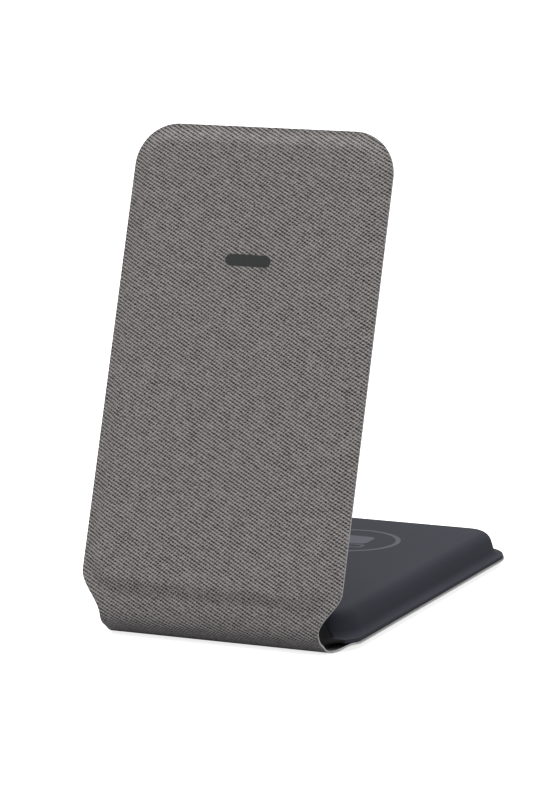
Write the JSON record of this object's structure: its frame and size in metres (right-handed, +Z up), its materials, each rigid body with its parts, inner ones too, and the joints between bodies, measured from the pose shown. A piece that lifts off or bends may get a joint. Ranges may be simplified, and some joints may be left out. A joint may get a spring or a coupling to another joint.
{
  "type": "folding wireless charging stand",
  "caption": "Folding wireless charger: a cloth-backed base pad and a leaning phone pad joined by a soft spine with friction hinges.",
  "frame": {"origin": "centre of the raised back of the base, the face that lies on the desk", "axes": "+X along the fold, +Y along the base away from the fold, +Z up"},
  "size_m": [0.08, 0.144, 0.143],
  "materials": {
    "woven_cloth": "grey-brown woven cloth",
    "soft_cover": "dark slate soft-touch synthetic leather",
    "shell_plastic": "moulded black plastic",
    "foam": "thin closed-cell foam",
    "board": "green solder mask",
    "component_black": "moulded component bodies",
    "screw_steel": "plated steel",
    "coil_copper": "enamelled copper wire",
    "ferrite": "sintered ferrite",
    "holder_plastic": "natural moulded plastic",
    "hinge_steel": "blanked steel",
    "print_ink": "slightly lighter printed ink",
    "magnet_nickel": "nickel plating",
    "socket_steel": "drawn steel",
    "tongue_plastic": "moulded black plastic",
    "bezel_plastic": "moulded dark plastic",
    "light_pipe": "frosted clear plastic",
    "ribbon": "polyimide film",
    "badge": "dark satin inlay"
  },
  "bodies": {
    "base": {"base_fabric": "woven_cloth", "base_pad_cover": "soft_cover", "base_lower_shell": "shell_plastic", "base_upper_shell": "shell_plastic", "base_foam": "foam", "base_circuit_board": "board", "base_board_components": "component_black", "base_board_screws": "screw_steel", "base_coil": "coil_copper", "base_ferrite": "ferrite", "base_coil_holder": "holder_plastic", "base_shell_screws": "screw_steel", "base_hinge_leaves": "hinge_steel", "base_hinge_pins": "screw_steel", "base_hinge_screws": "screw_steel", "base_target_ring": "print_ink", "base_target_icon": "print_ink", "usb_c_shell": "socket_steel", "usb_c_tongue": "tongue_plastic", "port_bezel": "bezel_plastic", "status_light_pipe": "light_pipe"},
    "spine": {"hinge_links": "hinge_steel", "spine_fabric": "woven_cloth", "spine_lining": "soft_cover", "ribbon_cable": "ribbon"},
    "upright": {"upright_fabric": "woven_cloth", "upright_pad_cover": "soft_cover", "upright_back_shell": "shell_plastic", "upright_front_shell": "shell_plastic", "upright_foam": "foam", "upright_circuit_board": "board", "upright_board_components": "component_black", "upright_board_screws": "screw_steel", "upright_coil": "coil_copper", "upright_ferrite": "ferrite", "upright_coil_holder": "holder_plastic", "upright_magnet_ring": "magnet_nickel", "upright_alignment_magnet": "magnet_nickel", "upright_shell_screws": "screw_steel", "upright_hinge_leaves": "hinge_steel", "upright_hinge_pins": "screw_steel", "upright_hinge_screws": "screw_steel", "upright_target_ring": "print_ink", "upright_badge": "badge"}
  },
  "joints": [
    {"name": "base_fold", "type": "hinge", "parent": "base", "child": "spine", "pos_m": [0, -0.0636, 0.0046], "axis": [-1, 0, 0], "range_deg": [-60, 30], "deforming": ["spine_fabric", "spine_lining", "ribbon_cable"]},
    {"name": "upright_fold", "type": "hinge", "parent": "spine", "child": "upright", "pos_m": [0, -0.0698, 0.01534], "axis": [-1, 0, 0], "range_deg": [-48, 42]}
  ]
}
